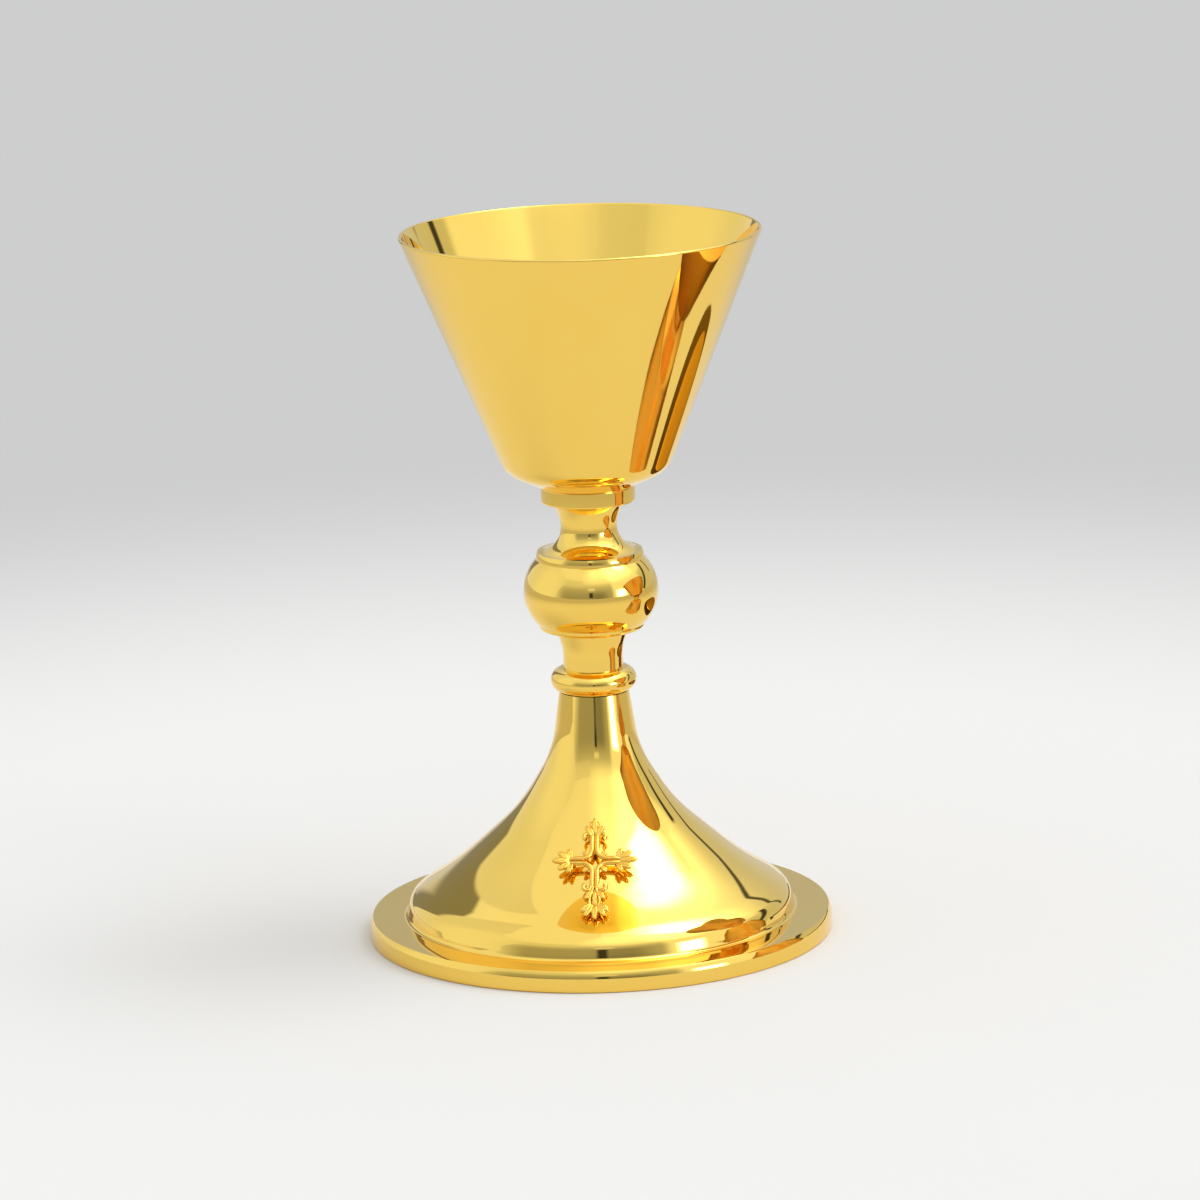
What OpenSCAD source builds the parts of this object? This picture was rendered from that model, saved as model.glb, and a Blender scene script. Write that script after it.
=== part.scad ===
// Altar chalice: a conical cup on a turned stem with a knop, over a flared foot that carries a cast cross.
// The stem pieces are strung on one rod, which screws into a boss under the cup and is drawn up by a nut
// inside the hollow foot. All of it is brass, polished and gold plated.
// Millimetres, +Z up. The origin is the centre of the foot on the table, and the cross faces -Y.

/* [Cup] */
// Height of the cup from its seat on the collar to the rim
cup_h = 71.7; // [60:0.1:85]
// Outside radius of the rim
rim_r = 50.6; // [42:0.1:62]
// Radius at which the straight side would meet the sloping bottom
cup_corner_r = 23; // [18:0.1:30]
// Height of that corner above the seat
cup_corner_h = 4.6; // [2.5:0.1:8]
// Radius of the round between side and bottom
cup_corner_blend = 8.5; // [5:0.1:12]
// Thickness of the spun sheet of the cup
cup_wall = 1; // [0.8:0.05:1.6]
// Radius of the rounded rim edge
rim_round = 0.45; // [0.2:0.05:0.6]

/* [Collar] */
// Radius of the plain collar, and of the flat seat under the cup
collar_r = 13.2; // [11.5:0.1:16]
// Height of the collar
collar_h = 4.5; // [3.5:0.1:7]
// Radius of the collar's softened edges
collar_round = 0.6; // [0.2:0.05:1]

/* [Upper neck] */
// Height of the neck from the flange's crest to the collar
upper_neck_h = 14; // [11:0.1:20]
// Radius at the narrowest place of the neck
waist_r = 7.9; // [7.2:0.1:9]
// Radius of the neck under the collar
neck_top_r = 10.5; // [9.8:0.1:11.4]
// Largest radius of the flange that covers the knop
flange_r = 15.1; // [13.5:0.1:16]
// Height of the flange from the knop to its crest
flange_h = 2.2; // [1.6:0.1:3.5]
// How far the crest lies inside the flange's largest radius
flange_draft = 0.35; // [0.2:0.05:0.8]
// Radius of the crowned edge of the flange
flange_crown = 5; // [2:0.1:8]

/* [Knop] */
// Height of the knop
knop_h = 18.4; // [14:0.1:26]
// Radius of the knop at its equator
knop_r = 18.9; // [17:0.1:24]
// Radius of the knop's flat ends
knop_end_r = 15.2; // [14:0.1:16.5]

/* [Lower neck] */
// Height of the neck from the bead to the underside of the lip
lower_neck_h = 11.3; // [9:0.1:18]
// Radius of the straight part of the neck
lower_neck_r = 8.4; // [7.8:0.1:10]
// Height of the straight part
lower_straight_h = 5.8; // [4:0.1:7.5]
// Radius of the neck where it reaches the lip
lower_flare_r = 10.3; // [9.8:0.1:12]
// Radius of the curve between straight part and flare
lower_neck_blend = 14; // [6:0.5:20]
// Thickness of the lip under the knop
lip_h = 1.7; // [1.2:0.1:3]
// Radius of the lip
lip_r = 14.95; // [13.5:0.05:16]
// Radius of the lip's rounded lower edge
lip_crown = 1.4; // [0.5:0.1:2]

/* [Bead ring] */
// Height of the half-round bead, twice the radius of its section
bead_h = 6.6; // [5:0.1:8]
// Largest radius of the bead
bead_r = 12.05; // [11:0.05:14]

/* [Flared foot] */
// Height of the flare above the flat of the foot ring
flare_h = 63.6; // [56:0.1:75]
// Radius at the top of the flare
flare_top_r = 9.85; // [9.2:0.05:11]
// Radius of the upper bend line
waist_bend_r = 12.3; // [11.6:0.1:14]
// Height of the upper bend line above the flat
waist_bend_h = 46.4; // [44:0.1:50]
// Radius of the curve at the upper bend
waist_blend = 33; // [15:1:45]
// How far the middle bend line lies inside the brim
skirt_in = 31.7; // [30:0.1:33.5]
// Height of the middle bend line above the flat
skirt_bend_h = 30.3; // [27:0.1:33]
// Radius of the curve at the middle bend
skirt_blend = 51; // [30:1:80]
// How far the lower bend line lies inside the brim
apron_in = 11.9; // [10.5:0.1:14]
// Height of the lower bend line above the flat
apron_bend_h = 12.85; // [11.5:0.05:14.5]
// Radius of the curve at the lower bend
apron_blend = 85; // [40:1:90]
// How far the shoulder's bend line lies inside the brim
shoulder_in = 3.8; // [3:0.1:5]
// Height of the shoulder's bend line above the flat
shoulder_h = 7.9; // [7:0.1:9]
// Radius of the curve at the shoulder
shoulder_blend = 32; // [10:1:40]
// Radius of the brim, where the flare turns down
brim_r = 53.9; // [51:0.1:56]
// Height of the brim above the flat
brim_h = 5; // [4.5:0.1:6]
// Radius of the rounded brim
brim_blend = 5.8; // [4:0.1:6.5]
// How far the brim's side leans out on its way down
brim_lean = 0.8; // [0.4:0.05:1.2]
// Thickness of the spun sheet of the foot
foot_wall = 1.2; // [0.9:0.05:1.8]

/* [Foot ring] */
// Radius of the foot ring
foot_r = 65.4; // [61:0.1:75]
// Height of the flat of the foot ring above the table
foot_h = 6; // [5:0.1:9]
// Height of the step from the flat up to the flare's lower edge
riser_h = 1.6; // [1:0.1:2.5]
// Radius of the cove at the bottom of the step
riser_cove = 1.1; // [0.3:0.1:1.5]
// How far the crest of the edge lies inside the foot's radius
crest_in = 0.8; // [0.4:0.05:1.5]
// Height at which the crowned edge would meet the upright side
foot_edge_h = 4.75; // [3.6:0.05:4.9]
// Radius of the crowned edge
foot_crown = 5; // [2:0.1:6]
// Radius of the softened bottom edge
foot_round = 0.5; // [0.2:0.1:1]
// Width of the face that the chalice stands on
foot_face_w = 2; // [1.2:0.1:4]
// Height of the lip inside the flare that centres it on the ring
register_h = 1.4; // [0.8:0.1:2]

/* [Tie rod] */
// Radius of the rod
rod_r = 3; // [2.5:0.1:3.4]
// Wall of the threaded boss round the rod
boss_wall = 2; // [1.6:0.1:2.2]
// Length of the boss below its head
boss_h = 8; // [6:0.5:9]
// Radius of the boss's soldered head
boss_head_r = 9; // [7.5:0.1:10]
// Thickness of that head
boss_head_h = 1.5; // [1:0.1:2]
// Radius of the spigots that centre the stem pieces
spigot_r = 6; // [5.2:0.1:6.4]
// Length of the spigots
spigot_h = 2.6; // [2:0.1:3]
// Height of the bush inside the top of the flare
bush_h = 9; // [7:0.5:11]
// Radius of the plain washer
washer_r = 7; // [6:0.1:8]
// Thickness of the plain washer
washer_h = 1.2; // [0.8:0.1:2]
// Radius of the spring washer
spring_washer_r = 5.2; // [4.8:0.1:5.6]
// Thickness of the spring washer
spring_washer_h = 1.5; // [1:0.1:2]
// Width of the slit in the spring washer
spring_slit = 1; // [0.6:0.1:1.6]
// Width of the nut across its flats
nut_af = 10; // [9:0.1:12]
// Height of the nut
nut_h = 5; // [4:0.1:6]
// Length of rod below the nut
rod_end = 2; // [1:0.1:4]
// Height of the bevel at the rod's end
rod_bevel = 0.6; // [0.3:0.1:1]
// Width of a nut's round end face as a share of its width across the flats
nut_face = 0.94; // [0.9:0.01:0.97]
// Angle of the bevel at a nut's corners
nut_bevel = 30; // [20:1:40]

/* [Cross] */
// Distance down the flare from the middle bend line to the crossing
cross_at = 13.75; // [12.5:0.05:16]
// Gap between the back of the cross and the flare where they come closest
cross_gap = 0.15; // [0.1:0.05:0.6]
// Length of the side arms from the crossing to their tips
cross_side = 12; // [10:0.1:14]
// Length of the upper arm
cross_top = 14; // [12:0.1:14.5]
// Length of the lower arm
cross_foot = 19.5; // [17:0.1:20]
// Width of one of the two strands of an arm
strand_w = 1.35; // [1:0.05:1.6]
// Groove between the two strands
strand_groove = 0.25; // [0.1:0.05:0.4]
// Radius of a strand's middle where it sweeps from arm to arm
strand_sweep = 2.5; // [2:0.1:3.2]
// Thickness of the cross at its strands
cross_t = 1.7; // [1.4:0.05:2.4]
// Thickness of the leaves
leaf_t = 1.35; // [1.1:0.05:1.4]
// Thickness of the web behind the strands
web_t = 0.95; // [0.8:0.05:1.05]
// Length of the leaf at the tip of an arm
leaf_l = 5.4; // [4.5:0.1:6.5]
// Width of that leaf
leaf_w = 3; // [2.4:0.1:3.6]
// Length of the spear-shaped leaf on top of the upper arm
spear_l = 6.6; // [5.5:0.1:7.5]
// Width of the spear-shaped leaf
spear_w = 3.7; // [3:0.1:4.2]
// Length of the leaves that stand out sideways
side_leaf_l = 3.9; // [3:0.1:4.5]
// Width of those leaves
side_leaf_w = 2; // [1.6:0.1:2.6]
// Length of the oblique leaves
oblique_leaf_l = 4.5; // [3.5:0.1:5.5]
// Angle of the oblique leaves to their arm
oblique_angle = 36; // [28:1:45]
// Angle of the side leaves to their arm
side_angle = 84; // [75:1:100]
// Angle of the second pair of leaves to the lower arm
pair_angle = 62; // [45:1:75]
// Radius of the rolled knob at the end of a side leaf
knob_r = 0.95; // [0.8:0.05:1.1]
// How far the round root of the leaves stands out beside the arm
leaf_hub = 0.35; // [0.2:0.05:0.6]
// Radius of the studs behind the cross
stud_r = 0.9; // [0.7:0.05:1]
// Distance of the upper stud from the crossing
stud_up = 5.5; // [4.5:0.1:7]
// Distance of the lower stud from the crossing
stud_down = 8.5; // [7:0.1:10]
// How deep the studs are let into the back of the cross
stud_depth = 0.6; // [0.4:0.05:0.7]
// Radius of the small washers inside the foot
stud_washer_r = 2; // [1.7:0.1:2.4]
// Thickness of the small washers
stud_washer_h = 0.5; // [0.4:0.1:1]
// Width of the small nuts across their flats
stud_nut_af = 3.4; // [3:0.1:4]
// Height of the small nuts
stud_nut_h = 1.5; // [1.2:0.1:2.4]
// Length of stud beyond its nut
stud_end = 0.5; // [0.2:0.1:1.5]

/* [Fits] */
// Gap round spigots and the boss
fit = 0.15; // [0.1:0.05:0.3]
// Gap round the rod where it passes through
rod_gap = 0.3; // [0.2:0.05:0.5]
// Gap that stands for the threads and the solder seams
thread_gap = 0.1; // [0.05:0.05:0.15]
// Gap behind faces that don't bear
relief = 0.4; // [0.2:0.1:0.8]

/* [Hidden] */
$fn = 96;

gold = "#dcae35";
brass = "#b8923a";

// Levels of the stack, from the table up
z_lip = foot_h + riser_h;
z_bead = foot_h + flare_h;
z_lower_neck = z_bead + bead_h;
z_lower_lip = z_lower_neck + lower_neck_h;
z_knop = z_lower_lip + lip_h;
z_flange = z_knop + knop_h;
z_crest = z_flange + flange_h;
z_collar = z_crest + upper_neck_h;
z_cup = z_collar + collar_h;
z_rim = z_cup + cup_h;

// Levels of the pieces under the stem, from the bush down
z_washer = z_bead - bush_h - washer_h;
z_spring_washer = z_washer - spring_washer_h;
z_nut = z_spring_washer - nut_h;
z_rod_end = z_nut - rod_end;
z_boss_end = z_cup - boss_head_h - boss_h;

rod_hole_r = rod_r + rod_gap;
thread_r = rod_r + thread_gap;
boss_r = rod_r + boss_wall;
socket_r = spigot_r + fit;
socket_h = spigot_h + relief;
hex_corner = 1 / cos(30);
// Share of an edge that rounds may use up, and how far a round's filling piece reaches past its corner
edge_share = 0.998;
corner_reach = 0.2;

skirt_bend_r = brim_r - skirt_in;
apron_bend_r = brim_r - apron_in;
shoulder_r = brim_r - shoulder_in;

// Outline of the flare's outside, from the top down, as [radius, height, round]
flare_path = [
  [flare_top_r, z_bead, 0],
  [waist_bend_r, foot_h + waist_bend_h, waist_blend],
  [skirt_bend_r, foot_h + skirt_bend_h, skirt_blend],
  [apron_bend_r, foot_h + apron_bend_h, apron_blend],
  [shoulder_r, foot_h + shoulder_h, shoulder_blend],
  [brim_r, foot_h + brim_h, brim_blend],
  [brim_r + brim_lean, z_lip, 0]
];
// Outline of the cup's outside, from the rim down to the centre of the bottom
cup_path = [
  [rim_r, z_rim, rim_round],
  [cup_corner_r, z_cup + cup_corner_h, cup_corner_blend],
  [collar_r, z_cup, 0],
  [0, z_cup, 0]
];
brim_edge_r = brim_r + brim_lean;
foot_inside = inset(flare_path, foot_wall);

// The cross lies parallel to the flare between its middle and lower bend lines
cross_tilt = atan2(skirt_bend_h - apron_bend_h, apron_bend_r - skirt_bend_r);
skirt_turn = atan2(waist_bend_h - skirt_bend_h, skirt_bend_r - waist_bend_r) - cross_tilt;
apron_turn = cross_tilt - atan2(apron_bend_h - shoulder_h, shoulder_r - apron_bend_r);
straight_l = norm([apron_bend_r - skirt_bend_r, skirt_bend_h - apron_bend_h]);
// Height of the flare over that straight at the tips of the upper and the lower arm
top_rise = rise_at(cross_top - cross_at, skirt_turn, skirt_blend);
foot_rise = rise_at(cross_at + cross_foot - straight_l, apron_turn, apron_blend);
cross_lift = max(top_rise, foot_rise, 0) + cross_gap;
cross_centre_r = skirt_bend_r + cross_at * cos(cross_tilt);
cross_centre_z = foot_h + skirt_bend_h - cross_at * sin(cross_tilt);
arm_w = 2 * strand_w + strand_groove;
stud_places = [stud_up, -stud_down];
stud_washer_z = -foot_wall - thread_gap - stud_washer_h;
stud_nut_z = stud_washer_z - stud_nut_h;
stud_low = stud_nut_z - stud_end;

function unit(v) = v / norm(v);
function point(p) = [p[0], p[1]];
function last(list) = list[len(list) - 1];
function reversed(list) = [for (i = [len(list) - 1:-1:0]) list[i]];
function turn(a, b) = a[0] * b[1] - a[1] * b[0];

// Shifts a path to its right by t and changes its rounds to match. Its ends slide along the nearest axis.
function inset(path, t) = [for (i = [0:len(path) - 1])
  let (
    p = point(path[i]),
    a = i > 0 ? unit(p - point(path[i - 1])) : unit(point(path[1]) - p),
    b = i < len(path) - 1 ? unit(point(path[i + 1]) - p) : a,
    na = [a[1], -a[0]],
    nb = [b[1], -b[0]],
    inner = i > 0 && i < len(path) - 1,
    end = abs(na[0]) > abs(na[1]) ? [1 / na[0], 0] : [0, 1 / na[1]],
    shift = inner ? (na + nb) / (1 + na * nb) : end,
    round = path[i][2] + (inner && path[i][2] > 0 ? sign(turn(a, b)) * t : 0)
  )
  concat(p + shift * t, [round])];

// Radius at height z on the straight between two points of a path
function radius_at(a, b, z) = a[0] + (b[0] - a[0]) * (a[1] - z) / (a[1] - b[1]);

// Height of a rounded bend over the straight before it, at a distance past the bend line
function rise_at(past, angle, blend) =
  let (reach = blend * tan(angle / 2))
  past * tan(angle) * (past > 0 ? 1 : 0) + (abs(past) < reach ? pow(reach - abs(past), 2) / (2 * blend) : 0);

// One round of an outline: the piece between the corner b and a circle that touches both edges at t from it
module corner_piece(a, b, c, t) {
  u = unit(a - b);
  v = unit(c - b);
  half = acos(u * v) / 2;
  difference() {
    polygon([b - unit(u + v) * corner_reach, b + u * t, b + v * t]);
    translate(b + unit(u + v) * t / cos(half)) circle(t * tan(half));
  }
}

// A closed outline of points [radius, height, round], given anticlockwise, with true arcs at its rounds
module outline(points) {
  n = len(points);
  p = [for (q = points) point(q)];
  before = [for (i = [0:n - 1]) p[(i + n - 1) % n]];
  after = [for (i = [0:n - 1]) p[(i + 1) % n]];
  bend = [for (i = [0:n - 1]) turn(p[i] - before[i], after[i] - p[i])];
  half = [for (i = [0:n - 1]) acos(unit(before[i] - p[i]) * unit(after[i] - p[i])) / 2];
  want = [for (i = [0:n - 1]) points[i][2] > 0 ? points[i][2] / tan(half[i]) : 0];
  room = [for (i = [0:n - 1])
    let (used = want[i] + want[(i + 1) % n])
    used > 0 ? min(1, edge_share * norm(after[i] - p[i]) / used) : 1];
  reach = [for (i = [0:n - 1]) want[i] * min(room[i], room[(i + n - 1) % n])];
  difference() {
    union() {
      polygon(p);
      for (i = [0:n - 1])
        if (reach[i] > 0 && bend[i] < 0)
          corner_piece(before[i], p[i], after[i], reach[i]);
    }
    for (i = [0:n - 1])
      if (reach[i] > 0 && bend[i] > 0)
        corner_piece(before[i], p[i], after[i], reach[i]);
  }
}

module turned(points) {
  rotate_extrude() outline(points);
}

module shell(path, wall) {
  turned(concat(reversed(path), inset(path, wall)));
}

module tube(outer_r, inner_r, z0, z1) {
  translate([0, 0, z0]) difference() {
    cylinder(h = z1 - z0, r = outer_r);
    translate([0, 0, -relief]) cylinder(h = z1 - z0 + 2 * relief, r = inner_r);
  }
}

// Bowl spun from sheet: straight flaring side, round corner, shallow bottom and a flat seat
module cup() {
  color(gold) shell(cup_path, cup_wall);
}

// Threaded boss with a flat head, soldered under the cup
module cup_boss() {
  z_head = z_cup - boss_head_h;
  color(brass) difference() {
    turned([
      [0, z_boss_end, 0],
      [boss_r, z_boss_end, 0],
      [boss_r, z_head, 0],
      [boss_head_r, z_head, 0],
      [boss_head_r, z_cup, 0],
      [0, z_cup, 0]
    ]);
    translate([0, 0, z_boss_end - relief]) cylinder(h = z_head - z_boss_end + relief, r = thread_r);
  }
}

// Plain ring between cup and neck, bored for the boss and its head
module cup_collar() {
  z_step = z_cup - boss_head_h - relief;
  color(gold) turned([
    [boss_r + fit, z_collar, 0],
    [collar_r, z_collar, collar_round],
    [collar_r, z_cup, collar_round / 2],
    [boss_head_r + fit, z_cup, 0],
    [boss_head_r + fit, z_step, 0],
    [boss_r + fit, z_step, 0]
  ]);
}

// Spool that sweeps out to the flange on top of the knop, with a spigot below it
module upper_neck() {
  crest_r = flange_r - flange_draft;
  cove = crest_r - waist_r;
  rise = upper_neck_h - cove;
  swell = neck_top_r - waist_r;
  sweep_r = (rise * rise + swell * swell) / (2 * swell);
  z_sweep = z_crest + cove + (rise * rise + swell * swell) / (2 * rise);
  z_socket = z_boss_end - relief;
  color(gold) turned([
    [rod_hole_r, z_flange - spigot_h, 0],
    [spigot_r, z_flange - spigot_h, 0],
    [spigot_r, z_flange, 0],
    [flange_r, z_flange, 0],
    [flange_r, z_flange + flange_h / 2, flange_crown],
    [crest_r, z_crest, 0],
    [waist_r, z_crest, cove],
    [waist_r, z_sweep, sweep_r],
    [neck_top_r, z_collar, 0],
    [boss_r + fit, z_collar, 0],
    [boss_r + fit, z_socket, 0],
    [rod_hole_r, z_socket, 0]
  ]);
}

// Barrel-shaped knop with flat ends, bored for the rod and recessed for both spigots
module knop() {
  bulge = knop_r - knop_end_r;
  section_r = (knop_h * knop_h / 4 + bulge * bulge) / (2 * bulge);
  color(gold) difference() {
    rotate_extrude() intersection() {
      union() {
        translate([knop_r - section_r, z_knop + knop_h / 2]) circle(section_r);
        translate([0, z_knop]) square([knop_end_r, knop_h]);
      }
      translate([0, z_knop]) square([knop_r, knop_h]);
    }
    translate([0, 0, z_knop - relief]) cylinder(h = knop_h + 2 * relief, r = rod_hole_r);
    translate([0, 0, z_knop - relief]) cylinder(h = socket_h + relief, r = socket_r);
    translate([0, 0, z_flange - socket_h]) cylinder(h = socket_h + relief, r = socket_r);
  }
}

// Spool with a lip under the knop and a spigot at each end
module lower_neck() {
  color(gold) turned([
    [rod_hole_r, z_lower_neck - spigot_h, 0],
    [spigot_r, z_lower_neck - spigot_h, 0],
    [spigot_r, z_lower_neck, 0],
    [lower_neck_r, z_lower_neck, 0],
    [lower_neck_r, z_lower_neck + lower_straight_h, lower_neck_blend],
    [lower_flare_r, z_lower_lip, 0],
    [lip_r, z_lower_lip, lip_crown],
    [lip_r, z_knop, 0],
    [spigot_r, z_knop, 0],
    [spigot_r, z_knop + spigot_h, 0],
    [rod_hole_r, z_knop + spigot_h, 0]
  ]);
}

// Half-round ring between lower neck and flare, centred by the spigots from above and below
module bead_ring() {
  section_r = bead_h / 2;
  color(gold) rotate_extrude() {
    translate([bead_r - section_r, z_bead + section_r]) circle(section_r);
    translate([socket_r, z_bead]) square([bead_r - section_r - socket_r, bead_h]);
  }
}

// Conical bush soldered inside the narrow top of the flare, with a spigot for the bead ring
module base_bush() {
  seat = inset(flare_path, foot_wall + thread_gap);
  color(brass) turned([
    [rod_hole_r, z_bead - bush_h, 0],
    [radius_at(seat[0], seat[1], z_bead - bush_h), z_bead - bush_h, 0],
    [seat[0][0], z_bead, 0],
    [spigot_r, z_bead, 0],
    [spigot_r, z_bead + spigot_h, 0],
    [rod_hole_r, z_bead + spigot_h, 0]
  ]);
}

// Flare spun from sheet, with two holes for the studs of the cross
module base_shell() {
  color(gold) difference() {
    shell(flare_path, foot_wall);
    on_flare() for (y = stud_places)
      translate([0, y, -2 * foot_wall]) cylinder(h = 3 * foot_wall + cross_lift, r = stud_r + fit);
  }
}

// Stepped ring under the flare: register, ledge, step, flat, crowned edge and standing face
module foot_ring() {
  register_r = radius_at(foot_inside[len(foot_inside) - 2], last(foot_inside), z_lip + register_h) - relief;
  inner_r = register_r - foot_wall;
  side_in_r = foot_r - foot_face_w;
  z_under = foot_h - foot_wall;
  color(gold) turned([
    [side_in_r, 0, 0],
    [foot_r, 0, foot_round],
    [foot_r, foot_edge_h, foot_crown],
    [foot_r - crest_in, foot_h, 0],
    [brim_edge_r + riser_cove / 4, foot_h, riser_cove],
    [brim_edge_r, z_lip, 0],
    [register_r, z_lip, 0],
    [register_r, z_lip + register_h, 0],
    [inner_r, z_lip + register_h, 0],
    [inner_r, z_under, 0],
    [side_in_r, z_under, 0]
  ]);
}

// Threaded rod from the cup's boss down through stem, bush, washers and nut
module tie_rod() {
  color(brass) turned([
    [0, z_rod_end, 0],
    [rod_r - rod_bevel, z_rod_end, 0],
    [rod_r, z_rod_end + rod_bevel, 0],
    [rod_r, z_cup - boss_head_h, 0],
    [0, z_cup - boss_head_h, 0]
  ]);
}

module tie_washer() {
  color(brass) tube(washer_r, rod_hole_r, z_washer, z_washer + washer_h);
}

// Split washer that keeps the nut tight
module tie_spring_washer() {
  color("silver") difference() {
    tube(spring_washer_r, rod_hole_r, z_spring_washer, z_washer);
    translate([0, -spring_slit / 2, z_spring_washer - relief])
      cube([2 * spring_washer_r, spring_slit, spring_washer_h + 2 * relief]);
  }
}

// Hexagon nut whose corners are bevelled on both faces
module hex_nut(af, h, hole_r) {
  face_r = nut_face * af / 2;
  outer_r = af / 2 * hex_corner + relief;
  bevel_h = (outer_r - face_r) * tan(nut_bevel);
  difference() {
    intersection() {
      cylinder(h = h, r = af / 2 * hex_corner, $fn = 6);
      turned([
        [0, 0, 0],
        [face_r, 0, 0],
        [outer_r, bevel_h, 0],
        [outer_r, h - bevel_h, 0],
        [face_r, h, 0],
        [0, h, 0]
      ]);
    }
    translate([0, 0, -relief]) cylinder(h = h + 2 * relief, r = hole_r);
  }
}

module tie_nut() {
  color(brass) translate([0, 0, z_nut]) hex_nut(nut_af, nut_h, thread_r);
}

// Puts a piece on the front of the flare: x across, y up the slope, z out from the straight of the flare
module on_flare() {
  translate([0, -cross_centre_r, cross_centre_z]) rotate([cross_tilt, 0, 0]) children();
}

// Pointed leaf along +x from the origin, between two arcs
module leaf(l, w) {
  arc_r = (l * l + w * w) / (4 * w);
  translate([l / 2, 0]) intersection() {
    translate([0, arc_r - w / 2]) circle(arc_r);
    translate([0, w / 2 - arc_r]) circle(arc_r);
  }
}

// One of the four strands: it runs in along one arm, sweeps round the corner and runs out along the next
module strand(along_x, along_y) {
  near = strand_groove / 2;
  far = near + strand_w;
  outline([
    [near, along_y, 0],
    [near, near, strand_sweep + strand_w / 2],
    [along_x, near, 0],
    [along_x, far, 0],
    [far, far, strand_sweep - strand_w / 2],
    [far, along_y, 0]
  ]);
}

// Leaf that ends in a rolled knob
module rolled_leaf() {
  leaf(side_leaf_l, side_leaf_w);
  translate([side_leaf_l - knob_r, 0]) circle(knob_r + leaf_hub / 2);
}

// Leaves at the tip of an arm: one along it, two oblique and two rolled ones that stand out sideways
module leaf_tip(l, w) {
  circle(arm_w / 2 + leaf_hub);
  leaf(l, w);
  for (side = [-1, 1]) {
    rotate(side * oblique_angle) leaf(oblique_leaf_l, side_leaf_w);
    rotate(side * side_angle) rolled_leaf();
  }
}

// Cast cross: double strands round an open centre, leaf tips, and a second pair of leaves on the lower arm
module cross() {
  top_end = cross_top - spear_l;
  side_end = cross_side - leaf_l;
  foot_end = cross_foot - leaf_l;
  leaf_pair = (stud_down + foot_end) / 2;
  web_w = arm_w - strand_w;
  color(gold) on_flare() translate([0, 0, cross_lift]) difference() {
    union() {
      for (sx = [-1, 1], sy = [-1, 1])
        linear_extrude(cross_t) quadrant(sx, sy) strand(side_end, sy > 0 ? top_end : foot_end);
      linear_extrude(web_t) difference() {
        union() {
          translate([-side_end, -web_w / 2]) square([2 * side_end, web_w]);
          translate([-web_w / 2, -foot_end]) square([web_w, foot_end + top_end]);
        }
        circle(strand_sweep);
      }
      linear_extrude(leaf_t) {
        translate([0, top_end]) rotate(90) leaf_tip(spear_l, spear_w);
        translate([0, -foot_end]) rotate(-90) leaf_tip(leaf_l, leaf_w);
        translate([side_end, 0]) leaf_tip(leaf_l, leaf_w);
        translate([-side_end, 0]) rotate(180) leaf_tip(leaf_l, leaf_w);
        for (side = [-1, 1])
          translate([side * web_w / 2, -leaf_pair]) rotate(side * pair_angle - 90) rolled_leaf();
      }
    }
    for (y = stud_places)
      translate([0, y, -relief]) cylinder(h = stud_depth + relief, r = stud_r + thread_gap);
  }
}

// Turns a shape of the first quadrant into another one
module quadrant(sx, sy) {
  mirror([sx < 0 ? 1 : 0, 0]) mirror([0, sy < 0 ? 1 : 0]) children();
}

// Studs soldered into the back of the cross, through the flare
module cross_studs() {
  color(brass) on_flare() for (y = stud_places)
    translate([0, y, stud_low]) cylinder(h = cross_lift + stud_depth - stud_low, r = stud_r);
}

module cross_washers() {
  color(brass) on_flare() for (y = stud_places)
    translate([0, y, 0])
      tube(stud_washer_r, stud_r + thread_gap, stud_washer_z, stud_washer_z + stud_washer_h);
}

module cross_nuts() {
  color(brass) on_flare() for (y = stud_places)
    translate([0, y, stud_nut_z]) hex_nut(stud_nut_af, stud_nut_h, stud_r + thread_gap);
}

cup();
cup_boss();
cup_collar();
upper_neck();
knop();
lower_neck();
bead_ring();
base_bush();
base_shell();
foot_ring();
tie_rod();
tie_washer();
tie_spring_washer();
tie_nut();
cross();
cross_studs();
cross_washers();
cross_nuts();
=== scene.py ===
import math

import bmesh
import bpy
from mathutils import Matrix, Vector


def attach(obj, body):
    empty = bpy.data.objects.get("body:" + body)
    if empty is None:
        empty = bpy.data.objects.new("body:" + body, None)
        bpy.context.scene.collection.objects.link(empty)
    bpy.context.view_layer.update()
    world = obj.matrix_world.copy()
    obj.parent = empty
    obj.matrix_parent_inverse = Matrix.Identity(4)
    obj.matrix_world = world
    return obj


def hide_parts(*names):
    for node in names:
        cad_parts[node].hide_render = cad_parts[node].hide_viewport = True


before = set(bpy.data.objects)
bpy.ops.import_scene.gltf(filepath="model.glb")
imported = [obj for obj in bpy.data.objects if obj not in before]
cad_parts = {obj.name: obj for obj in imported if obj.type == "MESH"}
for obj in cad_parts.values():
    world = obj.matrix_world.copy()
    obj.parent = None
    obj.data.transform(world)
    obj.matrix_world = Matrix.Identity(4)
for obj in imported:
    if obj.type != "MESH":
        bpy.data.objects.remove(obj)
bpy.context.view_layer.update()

# Cup: a bowl spun from brass sheet, with a straight flaring side, a round corner and a flat seat.
# It is mirror polished and gold plated inside and out, and its rim is rounded by hand.
MM = 0.001


def add(tree, kind, inputs=None, **settings):
    """Adds a node. Each input is a value or the socket that feeds it, by name or by number."""
    node = tree.nodes.new(kind)
    for name, value in settings.items():
        setattr(node, name, value)
    for name, value in (inputs or {}).items():
        if isinstance(value, bpy.types.NodeSocket):
            tree.links.new(value, node.inputs[name])
        else:
            node.inputs[name].default_value = value
    return node


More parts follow.
